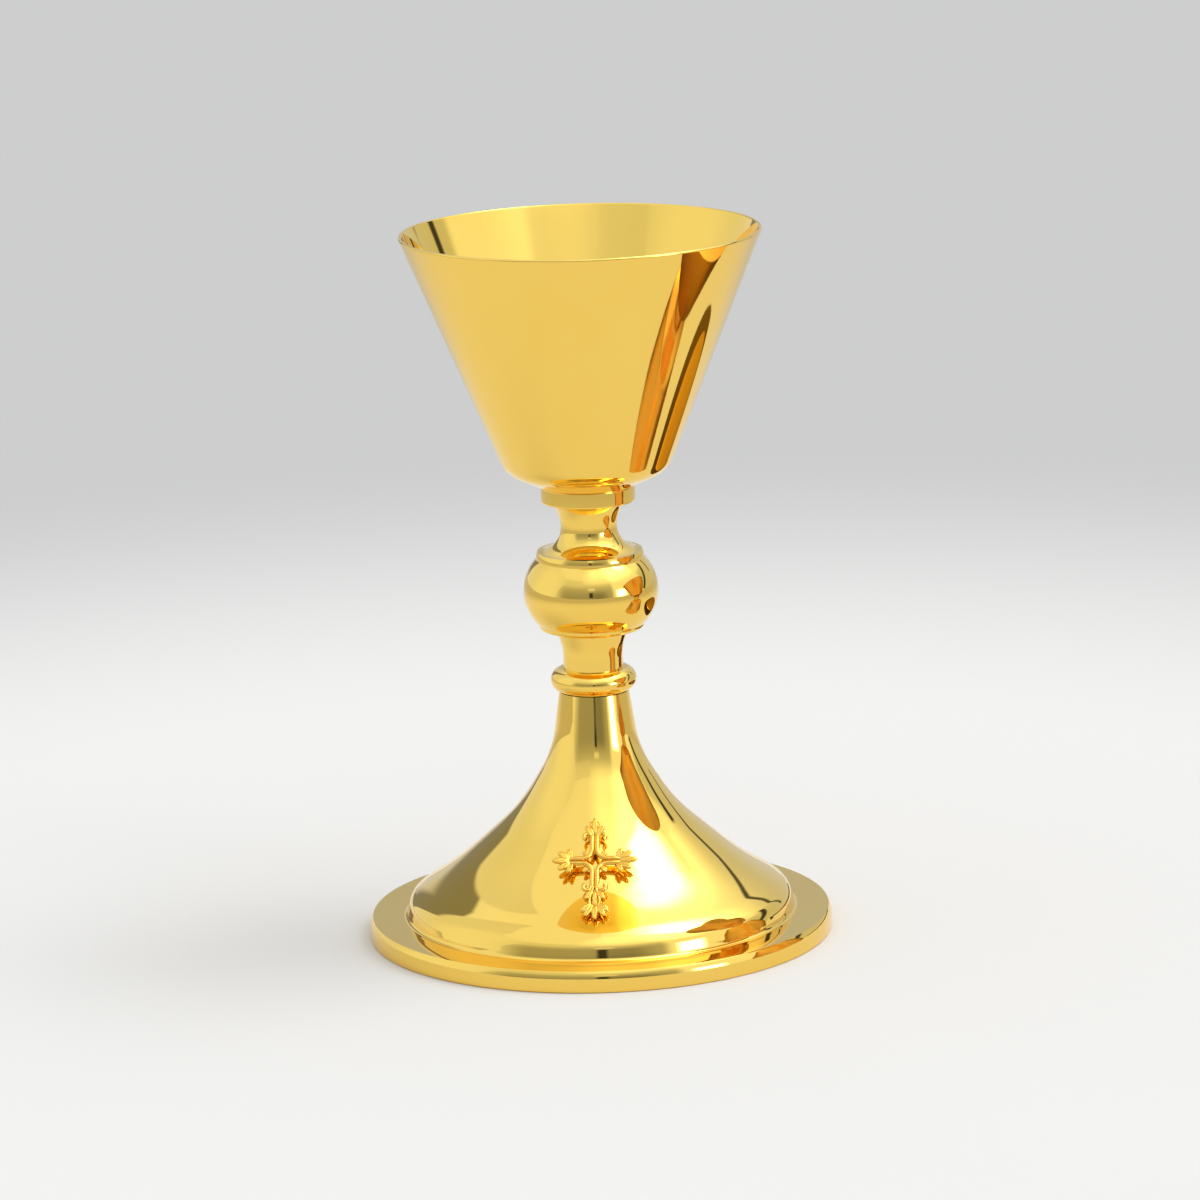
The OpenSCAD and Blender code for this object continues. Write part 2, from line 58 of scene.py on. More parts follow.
def linear(hex_colour):
    """An sRGB hex colour as linear RGBA."""
    parts = [int(hex_colour[i : i + 2], 16) / 255 for i in (1, 3, 5)]
    return [c / 12.92 if c <= 0.04045 else ((c + 0.055) / 1.055) ** 2.4 for c in parts] + [1.0]


def metal(name):
    """A new metallic material: its tree, its shader and its place on the object."""
    material = bpy.data.materials.new(name)
    material.use_nodes = True
    tree = material.node_tree
    shader = tree.nodes["Principled BSDF"]
    shader.inputs["Metallic"].default_value = 1.0
    place = add(tree, "ShaderNodeTexCoord").outputs["Object"]
    return material, tree, shader, place


# Gold plate over mirror-polished brass: clear, deep reflections, with the faint waves that
# spinning leaves in sheet, and broad patches and fine wiping marks that vary the gloss.
WAVE_W, PATCH_W, WIPE_W = 15, 22, 0.6
gold_plate, tree, shader, place = metal("gold plate on polished brass")
haze = add(tree, "ShaderNodeTexNoise", {"Vector": place, "Scale": 1 / (WIPE_W * MM), "Detail": 3.0})
patches = add(tree, "ShaderNodeTexNoise", {"Vector": place, "Scale": 1 / (PATCH_W * MM), "Detail": 2.0})
both = add(
    tree,
    "ShaderNodeMath",
    {0: haze.outputs["Fac"], 1: patches.outputs["Fac"]},
    operation="MULTIPLY",
)
gloss = add(
    tree,
    "ShaderNodeMapRange",
    {"Value": both.outputs[0], "From Min": 0.1, "From Max": 0.45, "To Min": 0.02, "To Max": 0.05},
)
tint = add(
    tree,
    "ShaderNodeMix",
    {"Factor": patches.outputs["Fac"], 6: linear("#F8CE5F"), 7: linear("#FAD36B")},
    data_type="RGBA",
)
waves = add(tree, "ShaderNodeTexNoise", {"Vector": place, "Scale": 1 / (WAVE_W * MM), "Detail": 1.0})
bump = add(
    tree,
    "ShaderNodeBump",
    {"Height": waves.outputs["Fac"], "Strength": 0.16, "Distance": 0.05 * MM},
)
tree.links.new(tint.outputs[2], shader.inputs["Base Color"])
tree.links.new(gloss.outputs["Result"], shader.inputs["Roughness"])
tree.links.new(bump.outputs["Normal"], shader.inputs["Normal"])


def new_tree(name, inputs, output):
    """A geometry tree with inputs of these kinds and one output, and the node that gives the inputs."""
    tree = bpy.data.node_groups.new(name, "GeometryNodeTree")
    for socket, kind in inputs.items():
        tree.interface.new_socket(socket, in_out="INPUT", socket_type="NodeSocket" + kind)
    tree.interface.new_socket(output, in_out="OUTPUT", socket_type="NodeSocketGeometry")
    return tree, add(tree, "NodeGroupInput")


# The lathe: each point of a profile is carried round the axis, and the rings are joined.
SEAM = 0.0005
lathe, given = new_tree(
    "turning on the lathe",
    {"Profile": "Geometry", "Steps round": "Int", "Crease angle": "Float", "Finish": "Material"},
    "Piece",
)
profile, steps = given.outputs["Profile"], given.outputs["Steps round"]
count = add(lathe, "GeometryNodeAttributeDomainSize", {"Geometry": profile}, component="MESH")
ring = add(lathe, "ShaderNodeMath", {0: steps, 1: 1.0}, operation="ADD")
sheet = add(
    lathe,
    "GeometryNodeMeshGrid",
    {"Vertices X": count.outputs["Point Count"], "Vertices Y": ring.outputs[0]},
)
index = add(lathe, "GeometryNodeInputIndex")
share = add(lathe, "ShaderNodeMath", {0: index.outputs[0], 1: ring.outputs[0]}, operation="DIVIDE")
row = add(lathe, "ShaderNodeMath", {0: share.outputs[0]}, operation="FLOOR")
column = add(
    lathe,
    "ShaderNodeMath",
    {0: index.outputs[0], 1: ring.outputs[0]},
    operation="FLOORED_MODULO",
)
part_turn = add(lathe, "ShaderNodeMath", {0: column.outputs[0], 1: steps}, operation="DIVIDE")
angle = add(lathe, "ShaderNodeMath", {0: part_turn.outputs[0], 1: -2 * math.pi}, operation="MULTIPLY")
position = add(lathe, "GeometryNodeInputPosition")
point = add(
    lathe,
    "GeometryNodeSampleIndex",
    {"Geometry": profile, "Value": position.outputs[0], "Index": row.outputs[0]},
    data_type="FLOAT_VECTOR",
)
turned = add(
    lathe,
    "ShaderNodeVectorRotate",
    {"Vector": point.outputs[0], "Angle": angle.outputs[0]},
    rotation_type="Z_AXIS",
)
rings = add(
    lathe,
    "GeometryNodeSetPosition",
    {"Geometry": sheet.outputs["Mesh"], "Position": turned.outputs[0]},
)
joined = add(lathe, "GeometryNodeMergeByDistance", {"Geometry": rings.outputs[0], "Distance": SEAM * MM})
smooth = add(lathe, "GeometryNodeSetShadeSmooth", {"Geometry": joined.outputs[0], "Shade Smooth": True})
fold = add(lathe, "GeometryNodeInputMeshEdgeAngle")
crease = add(
    lathe,
    "FunctionNodeCompare",
    {0: fold.outputs["Unsigned Angle"], 1: given.outputs["Crease angle"]},
    operation="GREATER_THAN",
)
creased = add(
    lathe,
    "GeometryNodeSetShadeSmooth",
    {"Geometry": smooth.outputs[0], "Selection": crease.outputs[0], "Shade Smooth": False},
    domain="EDGE",
)
real = add(lathe, "GeometryNodeRealizeInstances", {"Geometry": creased.outputs[0]})
finished = add(
    lathe,
    "GeometryNodeSetMaterial",
    {"Geometry": real.outputs[0], "Material": given.outputs["Finish"]},
)
add(lathe, "NodeGroupOutput", {"Piece": finished.outputs[0]})

# Share of an edge that its two rounds may use, the step along an arc, and the longest straight in mm.
EDGE_SHARE, ARC_STEP, STRAIGHT_STEP = 0.998, math.radians(1.6), 4.0
CREASE = math.radians(25)


def rounded(corners):
    """A closed outline of (radius, height, round) in mm, anticlockwise, as dense points with true arcs."""
    n = len(corners)
    spots = [Vector(c[:2]) for c in corners]
    reach = []
    for i, (_, _, blend) in enumerate(corners):
        a, b = spots[i - 1] - spots[i], spots[(i + 1) % n] - spots[i]
        reach.append(blend / math.tan(a.angle(b) / 2) if blend > 0 else 0.0)
    room = []
    for i in range(n):
        used = reach[i] + reach[(i + 1) % n]
        edge = (spots[(i + 1) % n] - spots[i]).length
        room.append(min(1.0, EDGE_SHARE * edge / used) if used else 1.0)
    points = []
    for i, p in enumerate(spots):
        t = reach[i] * min(room[i], room[i - 1])
        if t == 0:
            points.append(p)
            continue
        u, v = (spots[i - 1] - p).normalized(), (spots[(i + 1) % n] - p).normalized()
        half = u.angle(v) / 2
        centre = p + (u + v).normalized() * t / math.cos(half)
        start, end = p + u * t - centre, p + v * t - centre
        sweep = start.angle_signed(end)
        pieces = max(2, math.ceil(abs(sweep) / ARC_STEP))
        for k in range(pieces + 1):
            points.append(centre + Matrix.Rotation(-sweep * k / pieces, 2) @ start)
    return points


def fine(points, closed):
    """The same points in metres, with long straights divided so that the sheen runs evenly."""
    out = []
    pairs = zip(points, points[1:] + points[:1]) if closed else zip(points, points[1:])
    for a, b in pairs:
        parts = max(1, math.ceil((b - a).length / STRAIGHT_STEP))
        out += [a.lerp(b, k / parts) for k in range(parts)]
    out.append(points[0] if closed else points[-1])
    return [(p.x * MM, 0.0, p.y * MM) for p in out]


def made_by(group, name, mesh, sizes):
    """A new piece whose plain mesh is what a tree makes of a mesh, with inputs by name."""
    piece = bpy.data.objects.new(name, mesh)
    bpy.context.scene.collection.objects.link(piece)
    making = piece.modifiers.new(name, "NODES")
    making.node_group = group
    for socket in group.interface.items_tree:
        if socket.name in sizes:
            making[socket.identifier] = sizes[socket.name]
    made = bpy.data.meshes.new_from_object(piece.evaluated_get(bpy.context.evaluated_depsgraph_get()))
    piece.modifiers.clear()
    piece.data = made
    made.name = piece.name
    return piece


def turn_piece(name, corners, finish, steps_round=256):
    """Turns an outline of corners in mm on the lathe."""
    on_axis = corners[0][0] == 0 and corners[-1][0] == 0
    mesh = bpy.data.meshes.new(name)
    mesh.from_pydata(fine(rounded(corners), closed=not on_axis), [], [])
    sizes = {"Steps round": steps_round, "Crease angle": CREASE, "Finish": finish}
    return made_by(lathe, name, mesh, sizes)


def stand_for(piece, node):
    """Puts a piece on the object in place of its CAD node."""
    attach(piece, "root")
    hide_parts(node)


Z_CUP, Z_RIM = 128.3, 200.0
CUP_WALL, RIM_R, COLLAR_R = 1.0, 50.6, 13.2
CORNER_R, CORNER_H, CORNER_ROUND = 23.0, 4.6, 8.5
INSIDE_R, INSIDE_H = 22.31, 5.39
BOTTOM_IN, BOTTOM_ROUND, RIM_ROUND = 0.21, 3.0, 0.45
side = Vector((RIM_R - CORNER_R, Z_RIM - Z_CUP - CORNER_H)).normalized()
rim_in = RIM_R - CUP_WALL / side.y
cup = turn_piece(
    "cup",
    [
        (0, Z_CUP, 0),
        (COLLAR_R, Z_CUP, 0),
        (CORNER_R, Z_CUP + CORNER_H, CORNER_ROUND),
        (RIM_R, Z_RIM, RIM_ROUND),
        (rim_in, Z_RIM, RIM_ROUND),
        (INSIDE_R, Z_CUP + INSIDE_H, CORNER_ROUND - CUP_WALL),
        (COLLAR_R - BOTTOM_IN, Z_CUP + CUP_WALL, BOTTOM_ROUND),
        (0, Z_CUP + CUP_WALL, 0),
    ],
    gold_plate,
    steps_round=320,
)
stand_for(cup, "cup")

# Collar: a plain ring turned from brass, polished and plated, that carries the cup's seat.
# It is bored for the boss under the cup, and recessed for the boss's flat head.
Z_COLLAR = 123.8
BOSS_BORE_R = 5.15
HEAD_BORE_R, HEAD_DEPTH = 9.15, 1.9
COLLAR_ROUND, SEAT_ROUND = 0.6, 0.3
collar = turn_piece(
    "cup_collar",
    [
        (BOSS_BORE_R, Z_COLLAR, 0),
        (COLLAR_R, Z_COLLAR, COLLAR_ROUND),
        (COLLAR_R, Z_CUP, SEAT_ROUND),
        (HEAD_BORE_R, Z_CUP, 0),
        (HEAD_BORE_R, Z_CUP - HEAD_DEPTH, 0),
        (BOSS_BORE_R, Z_CUP - HEAD_DEPTH, 0),
    ],
    gold_plate,
)
stand_for(collar, "cup_collar")

# Upper neck: a spool turned from brass, polished and plated. Its waist sweeps out into the flange
# that covers the knop's top. A spigot centres it in the knop, and the boss ends in its wide bore.
Z_FLANGE, Z_CREST, Z_BOSS_END = 107.6, 109.8, 118.4
WAIST_R, NECK_TOP_R, FLANGE_R, CREST_R = 7.9, 10.5, 15.1, 14.75
FLANGE_SIDE_H, FLANGE_CROWN = 1.1, 5.0
ROD_BORE_R, SPIGOT_R, SPIGOT_H = 3.3, 6.0, 2.6
cove = CREST_R - WAIST_R
rise, swell = Z_COLLAR - Z_CREST - cove, NECK_TOP_R - WAIST_R
neck_corner = (rise**2 + swell**2) / (2 * rise)
neck_round = (rise**2 + swell**2) / (2 * swell)
upper_neck = turn_piece(
    "upper_neck",
    [
        (ROD_BORE_R, Z_FLANGE - SPIGOT_H, 0),
        (SPIGOT_R, Z_FLANGE - SPIGOT_H, 0),
        (SPIGOT_R, Z_FLANGE, 0),
        (FLANGE_R, Z_FLANGE, 0),
        (FLANGE_R, Z_FLANGE + FLANGE_SIDE_H, FLANGE_CROWN),
        (CREST_R, Z_CREST, 0),
        (WAIST_R, Z_CREST, cove),
        (WAIST_R, Z_CREST + cove + neck_corner, neck_round),
        (NECK_TOP_R, Z_COLLAR, 0),
        (BOSS_BORE_R, Z_COLLAR, 0),
        (BOSS_BORE_R, Z_BOSS_END, 0),
        (ROD_BORE_R, Z_BOSS_END, 0),
    ],
    gold_plate,
)
stand_for(upper_neck, "upper_neck")

# Knop: the barrel-shaped grip, turned from solid brass, polished and plated.
# Each of its flat ends has a recess that takes a neck's spigot.
Z_KNOP = 89.2
KNOP_R, KNOP_END_R = 18.9, 15.2
SOCKET_R, SOCKET_H = 6.15, 3.0
knop_h = Z_FLANGE - Z_KNOP
bulge = KNOP_R - KNOP_END_R
knop_section = (knop_h**2 / 4 + bulge**2) / (2 * bulge)
knop_pull = knop_h**2 / (4 * (knop_section - bulge))
knop = turn_piece(
    "knop",
    [
        (ROD_BORE_R, Z_KNOP + SOCKET_H, 0),
        (SOCKET_R, Z_KNOP + SOCKET_H, 0),
        (SOCKET_R, Z_KNOP, 0),
        (KNOP_END_R, Z_KNOP, 0),
        (KNOP_END_R + knop_pull, Z_KNOP + knop_h / 2, knop_section),
        (KNOP_END_R, Z_FLANGE, 0),
        (SOCKET_R, Z_FLANGE, 0),
        (SOCKET_R, Z_FLANGE - SOCKET_H, 0),
        (ROD_BORE_R, Z_FLANGE - SOCKET_H, 0),
    ],
    gold_plate,
)
stand_for(knop, "knop")

# Lower neck: a spool turned from brass, polished and plated, that flares up into a thin lip under
# the knop. Its spigots centre it in the knop above and in the bead ring below.
Z_LOWER, Z_LIP = 76.2, 87.5
LOWER_R, LOWER_STRAIGHT_H, LOWER_ROUND = 8.4, 5.8, 14.0
LOWER_FLARE_R, LIP_R, LIP_ROUND = 10.3, 14.95, 1.4
lower_neck = turn_piece(
    "lower_neck",
    [
        (ROD_BORE_R, Z_LOWER - SPIGOT_H, 0),
        (SPIGOT_R, Z_LOWER - SPIGOT_H, 0),
        (SPIGOT_R, Z_LOWER, 0),
        (LOWER_R, Z_LOWER, 0),
        (LOWER_R, Z_LOWER + LOWER_STRAIGHT_H, LOWER_ROUND),
        (LOWER_FLARE_R, Z_LIP, 0),
        (LIP_R, Z_LIP, LIP_ROUND),
        (LIP_R, Z_KNOP, 0),
        (SPIGOT_R, Z_KNOP, 0),
        (SPIGOT_R, Z_KNOP + SPIGOT_H, 0),
        (ROD_BORE_R, Z_KNOP + SPIGOT_H, 0),
    ],
    gold_plate,
)
stand_for(lower_neck, "lower_neck")

# Bead ring: a half-round ring turned from brass, polished and plated, between the lower neck and
# the flare. Its bore takes the lower neck's spigot.
Z_BEAD = 69.6
BEAD_R, bead_half = 12.05, (Z_LOWER - Z_BEAD) / 2
bead_ring = turn_piece(
    "bead_ring",
    [
        (SOCKET_R, Z_BEAD, 0),
        (BEAD_R, Z_BEAD, bead_half),
        (BEAD_R, Z_LOWER, bead_half),
        (SOCKET_R, Z_LOWER, 0),
    ],
    gold_plate,
)
stand_for(bead_ring, "bead_ring")

# Flared foot: spun from sheet in one long ogee, polished and plated, and turned down at the brim.
# A brass bush is soldered into its narrow top, where the rod pulls the stem and the foot together.
FOOT_WALL = 1.2
BRIM_EDGE_R, Z_BRIM_EDGE = 54.7, 7.6
# The outside from the top down: top, waist, skirt, apron, shoulder, brim and lower edge.
flare_out = [
    (9.85, Z_BEAD, 0),
    (12.3, 52.4, 33.0),
    (22.2, 36.3, 51.0),
    (42.0, 18.85, 85.0),
    (50.1, 13.9, 32.0),
    (53.9, 11.0, 5.8),
    (BRIM_EDGE_R, Z_BRIM_EDGE, 0),
]


def inner_face(path, wall):
    """The inside of a sheet whose outside runs along path, from the top down."""
    out = []
    for i, (r, z, blend) in enumerate(path):
        p = Vector((r, z))
        into = (p - Vector(path[i - 1][:2])).normalized() if i else None
        away = (Vector(path[i + 1][:2]) - p).normalized() if i + 1 < len(path) else into
        into = into or away
        left, right = Vector((into.y, -into.x)), Vector((away.y, -away.x))
        if 0 < i < len(path) - 1:
            q = p + (left + right) / (1 + left.dot(right)) * wall
            out.append((q.x, q.y, blend + math.copysign(wall, into.cross(away))))
        else:
            out.append((r + wall / left.x, z, 0))
    return out


flare_in = inner_face(flare_out, FOOT_WALL)
base_shell = turn_piece("base_shell", flare_out[::-1] + flare_in, gold_plate, steps_round=320)
stand_for(base_shell, "base_shell")

# Foot ring: a stepped ring turned from brass, with a cove under the brim, a flat and a crowned edge.
# It is hollow below, stands on a narrow face, and centres the flare with an upright lip.
FOOT_R, FOOT_H, FACE_W = 65.4, 6.0, 2.0
REGISTER_H, REGISTER_GAP = 1.4, 0.4
COVE_FOOT_R, COVE_R = 54.975, 1.1
CREST_IN, EDGE_H, EDGE_CROWN, EDGE_ROUND = 0.8, 4.75, 5.0, 0.5
brim_in, edge_in = flare_in[-2:]
lean_in = (edge_in[0] - brim_in[0]) / (brim_in[1] - edge_in[1])
register_r = edge_in[0] - lean_in * REGISTER_H - REGISTER_GAP
foot_ring = turn_piece(
    "foot_ring",
    [
        (FOOT_R - FACE_W, 0, 0),
        (FOOT_R, 0, EDGE_ROUND),
        (FOOT_R, EDGE_H, EDGE_CROWN),
        (FOOT_R - CREST_IN, FOOT_H, 0),
        (COVE_FOOT_R, FOOT_H, COVE_R),
        (BRIM_EDGE_R, Z_BRIM_EDGE, 0),
        (register_r, Z_BRIM_EDGE, 0),
        (register_r, Z_BRIM_EDGE + REGISTER_H, 0),
        (register_r - FOOT_WALL, Z_BRIM_EDGE + REGISTER_H, 0),
        (register_r - FOOT_WALL, FOOT_H - FOOT_WALL, 0),
        (FOOT_R - FACE_W, FOOT_H - FOOT_WALL, 0),
    ],
    gold_plate,
    steps_round=360,
)
stand_for(foot_ring, "foot_ring")

# Cross: cast in brass in one piece, polished and plated, and held off the flare by two studs.
# Each arm is a pair of strands that sweep round an open centre and end in curls and leaves.
CROSS_AT = 13.75
skirt, apron = Vector(flare_out[2][:2]), Vector(flare_out[3][:2])
down_slope = (apron - skirt).normalized()
crossing = skirt + down_slope * CROSS_AT
tilt = Matrix.Rotation(math.atan2(-down_slope.y, down_slope.x), 4, "X")
lie = Matrix.Translation((0, -crossing.x * MM, crossing.y * MM)) @ tilt
to_flare = lie.inverted()
cross_lift = min((to_flare @ v.co).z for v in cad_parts["cross"].data.vertices)

# Cast gold: the plate follows the softer skin of a casting, so highlights are broader than on
# the turned pieces, and a fine grain breaks them up.
GRAIN_W = 0.5
gold_cast, tree, shader, place = metal("gold plate on cast brass")
grain = add(tree, "ShaderNodeTexNoise", {"Vector": place, "Scale": 1 / (GRAIN_W * MM), "Detail": 3.0})
skin = add(tree, "ShaderNodeMapRange", {"Value": grain.outputs["Fac"], "To Min": 0.17, "To Max": 0.29})
warm = add(
    tree,
    "ShaderNodeMix",
    {"Factor": grain.outputs["Fac"], 6: linear("#EEBB4C"), 7: linear("#F4C65F")},
    data_type="RGBA",
)
cast_skin = add(
    tree,
    "ShaderNodeBump",
    {"Height": grain.outputs["Fac"], "Strength": 0.35, "Distance": 0.05 * MM},
)
tree.links.new(warm.outputs[2], shader.inputs["Base Color"])
tree.links.new(skin.outputs["Result"], shader.inputs["Roughness"])
tree.links.new(cast_skin.outputs["Normal"], shader.inputs["Normal"])

# Strands: round bars along paths, as thick at each point as the path says.
bars, given = new_tree(
    "cast strands",
    {"Paths": "Geometry", "Spacing": "Float", "Sides": "Int", "Finish": "Material"},
    "Strands",
)
thick = add(bars, "GeometryNodeInputNamedAttribute", {"Name": "thickness"}, data_type="FLOAT")
lines = add(bars, "GeometryNodeMeshToCurve", {"Mesh": given.outputs["Paths"]})
smooth = add(bars, "GeometryNodeCurveSplineType", {"Curve": lines.outputs[0]}, spline_type="CATMULL_ROM")
spaced = add(
    bars,
    "GeometryNodeResampleCurve",
    {"Curve": smooth.outputs[0], "Length": given.outputs["Spacing"]},
    mode="LENGTH",
)
section = add(
    bars,
    "GeometryNodeCurvePrimitiveCircle",
    {"Resolution": given.outputs["Sides"], "Radius": 1.0},
    mode="RADIUS",
)
swept = add(
    bars,
    "GeometryNodeCurveToMesh",
    {
        "Curve": spaced.outputs[0],
        "Profile Curve": section.outputs[0],
        "Scale": thick.outputs["Attribute"],
        "Fill Caps": True,
    },
)
soft = add(bars, "GeometryNodeSetShadeSmooth", {"Geometry": swept.outputs[0], "Shade Smooth": True})
real = add(bars, "GeometryNodeRealizeInstances", {"Geometry": soft.outputs[0]})
finished = add(
    bars,
    "GeometryNodeSetMaterial",
    {"Geometry": real.outputs[0], "Material": given.outputs["Finish"]},
)
add(bars, "NodeGroupOutput", {"Strands": finished.outputs[0]})

# Leaves: one lobed, hollowed leaf set on each root, turned and sized by the root's own values.
foliage, given = new_tree(
    "cast leaves",
    {"Roots": "Geometry", "Leaf": "Object", "Finish": "Material"},
    "Leaves",
)
blade = add(foliage, "GeometryNodeObjectInfo", {"Object": given.outputs["Leaf"]})
facing = add(foliage, "GeometryNodeInputNamedAttribute", {"Name": "facing"}, data_type="FLOAT_VECTOR")
extent = add(foliage, "GeometryNodeInputNamedAttribute", {"Name": "extent"}, data_type="FLOAT_VECTOR")
turns = add(foliage, "FunctionNodeEulerToRotation", {0: facing.outputs["Attribute"]})
placed = add(
    foliage,
    "GeometryNodeInstanceOnPoints",
    {
        "Points": given.outputs["Roots"],
        "Instance": blade.outputs["Geometry"],
        "Rotation": turns.outputs[0],
        "Scale": extent.outputs["Attribute"],
    },
)
real = add(foliage, "GeometryNodeRealizeInstances", {"Geometry": placed.outputs[0]})
soft = add(foliage, "GeometryNodeSetShadeSmooth", {"Geometry": real.outputs[0], "Shade Smooth": True})
finished = add(
    foliage,
    "GeometryNodeSetMaterial",
    {"Geometry": soft.outputs[0], "Material": given.outputs["Finish"]},
)
add(foliage, "NodeGroupOutput", {"Leaves": finished.outputs[0]})

CROSS_T = 1.7
STRAND_OFF, STRAND_R, SWEEP_R = 0.72, 0.68, 3.0
THIN_R = 0.42
paths, thickness, links = [], [], []


def strand(*stretches):
    """Adds a strand through stretches of points in mm, each with the thickness at its two ends."""
    begin = len(paths)
    for points, first, last in stretches:
        for k, (x, y) in enumerate(points):
            paths.append((x * MM, y * MM, (CROSS_T - STRAND_R) * MM))
            thickness.append((first + (last - first) * k / (len(points) - 1)) * MM)
    links.extend((k, k + 1) for k in range(begin, len(paths) - 1))


def arc(middle, radius, start, sweep):
    """Points on an arc. Angles are in degrees."""
    steps = math.ceil(abs(sweep) / 15)
    out = []
    for k in range(steps + 1):
        a = math.radians(start + sweep * k / steps)
        out.append((middle[0] + radius * math.cos(a), middle[1] + radius * math.sin(a)))
    return out


def flipped(points, sx, sy):
    """The same points in another quarter of the cross."""
    return [(sx * x, sy * y) for x, y in points]


SIDE_END, TOP_END, FOOT_END = 7.0, 8.6, 9.2
TAPER_L = 1.5
CURL_R, CURL_FROM, CURL_SWEEP = 1.0, 200, -265
close_in = STRAND_OFF * 0.7
corner = STRAND_OFF + SWEEP_R
sweep = arc((corner, corner), SWEEP_R, 180, 90)
outwards = [(SIDE_END - TAPER_L, STRAND_OFF), (SIDE_END, close_in)]
lower = [(0.35, FOOT_END - 0.6), (0.85, 10.8), (1.35, 12.6), (1.3, 14.2), (0.7, 15.6)]
# A curl leaves each strand at the end of the upper arm and of the shaft, and ends in a bead.
upper_curl = [(0.7, 6.6)] + arc((1.95, 8.0), CURL_R, CURL_FROM, CURL_SWEEP)
lower_curl = [(0.7, 7.0)] + arc((2.1, 8.7), CURL_R, CURL_FROM, CURL_SWEEP)
for sx in (-1, 1):
    for sy, end in ((1, TOP_END), (-1, FOOT_END)):
        inwards = [(close_in, end), (STRAND_OFF, end - TAPER_L)]
        strand(
            (flipped(inwards, sx, sy), THIN_R, STRAND_R),
            (flipped(sweep, sx, sy), STRAND_R, STRAND_R),
            (flipped(outwards, sx, sy), STRAND_R, THIN_R),
        )
    strand((flipped(lower, sx, -1), THIN_R, THIN_R))
    strand((flipped(upper_curl, sx, 1), THIN_R, 0.66))
    strand((flipped(lower_curl, sx, -1), THIN_R, 0.7))

# Each root is a place, a heading in degrees from +x, a length, a width, a height and an uplift.
roots = []


def leaf(x, y, heading, length, width, height=1.5, uplift=6):
    """Sets a leaf of these sizes in mm on its root."""
    roots.append((x, y, heading, length, width, height, uplift))


def bud(x, y, tip_x, tip_y, width):
    """Sets a rolled leaf from its foot to its fuller tip. All sizes are in mm."""
    back = Vector((x - tip_x, y - tip_y))
    leaf(tip_x, tip_y, math.degrees(math.atan2(back.y, back.x)), back.length, width, width * 0.95, 0)


for sx in (-1, 1):
    across = 0 if sx > 0 else 180
    for side in (-1, 1):
        turn = sx * side
        bud(sx * 6.2, side * 0.7, sx * 7.5, side * 3.8, 2.0)
        leaf(sx * 6.8, side * 0.5, across + turn * 34, 4.3, 2.2, 1.8)
        leaf(sx * 1.85, side * 1.85, across + turn * 45, 2.1, 1.7, 1.2, 0)
    leaf(sx * 6.9, 0, across, 5.2, 2.3, 2.0)
    leaf(sx * 0.3, 8.4, 90 - sx * 38, 3.8, 2.0, 1.7)
    leaf(sx * 0.2, 10.6, 90 - sx * 25, 2.6, 1.5, 1.7)
    leaf(sx * 0.6, -9.8, -90 + sx * 36, 3.7, 1.9, 1.7)
    leaf(sx * 0.5, -14.4, -90 + sx * 30, 4.7, 2.2, 1.8)
    bud(sx * 0.9, -14.4, sx * 3.9, -16.8, 2.3)
leaf(0, 8.8, 90, 5.2, 1.9, 1.9)
leaf(0, -10.4, -90, 4.5, 1.5, 2.2, 0)
leaf(0, -14.9, -90, 4.7, 2.1, 2.0)

# The pattern leaf is 1 long, 1 wide and 1 high, with a lobed edge and a hollow along its middle.
AROUND, ALONG = 20, 28
TAPER, FULLNESS = 0.85, 0.48
LOBE_DEPTH, HOLLOW_DEPTH = 0.2, 0.22
pattern = bmesh.new()
ends = [pattern.verts.new((0, 0, 0.5)), pattern.verts.new((1, 0, 0.5))]
rows = []
for i in range(1, ALONG):
    s = (1 - math.cos(math.pi * i / ALONG)) / 2
    half = 0.5 * math.sin(math.pi * s**TAPER) ** FULLNESS
    lobe = 1 - LOBE_DEPTH * math.cos(3 * math.pi * s) ** 2
    row = []
    for j in range(AROUND):
        a = 2 * math.pi * j / AROUND
        hollow = HOLLOW_DEPTH * math.sin(math.pi * s) * max(0.0, math.sin(a)) ** 4
        spot = (s, lobe * half * math.cos(a), 0.5 + half * math.sin(a) - hollow)
        row.append(pattern.verts.new(spot))
    rows.append(row)
for j in range(AROUND):
    k = (j + 1) % AROUND
    pattern.faces.new((ends[0], rows[0][k], rows[0][j]))
    pattern.faces.new((ends[1], rows[-1][j], rows[-1][k]))
    for low, high in zip(rows, rows[1:]):
        pattern.faces.new((low[j], low[k], high[k], high[j]))
bmesh.ops.recalc_face_normals(pattern, faces=pattern.faces)
pattern_mesh = bpy.data.meshes.new("pattern_leaf")
pattern.to_mesh(pattern_mesh)
pattern.free()
pattern_leaf = bpy.data.objects.new("pattern_leaf", pattern_mesh)

path_mesh = bpy.data.meshes.new("strand_paths")
path_mesh.from_pydata(paths, links, [])
path_mesh.attributes.new("thickness", "FLOAT", "POINT").data.foreach_set("value", thickness)
root_mesh = bpy.data.meshes.new("leaf_roots")
root_mesh.from_pydata([(x * MM, y * MM, 0) for x, y, *_ in roots], [], [])
facing, extent = [], []
for _, _, heading, length, width, height, uplift in roots:
    facing += [0, -math.radians(uplift), math.radians(heading)]
    extent += [length * MM, width * MM, height * MM]
root_mesh.attributes.new("facing", "FLOAT_VECTOR", "POINT").data.foreach_set("vector", facing)
root_mesh.attributes.new("extent", "FLOAT_VECTOR", "POINT").data.foreach_set("vector", extent)
STRAND_STEP, STRAND_SIDES = 0.16, 16
strand_sizes = {"Spacing": STRAND_STEP * MM, "Sides": STRAND_SIDES, "Finish": gold_cast}
leaf_sizes = {"Leaf": pattern_leaf, "Finish": gold_cast}
casting = bmesh.new()
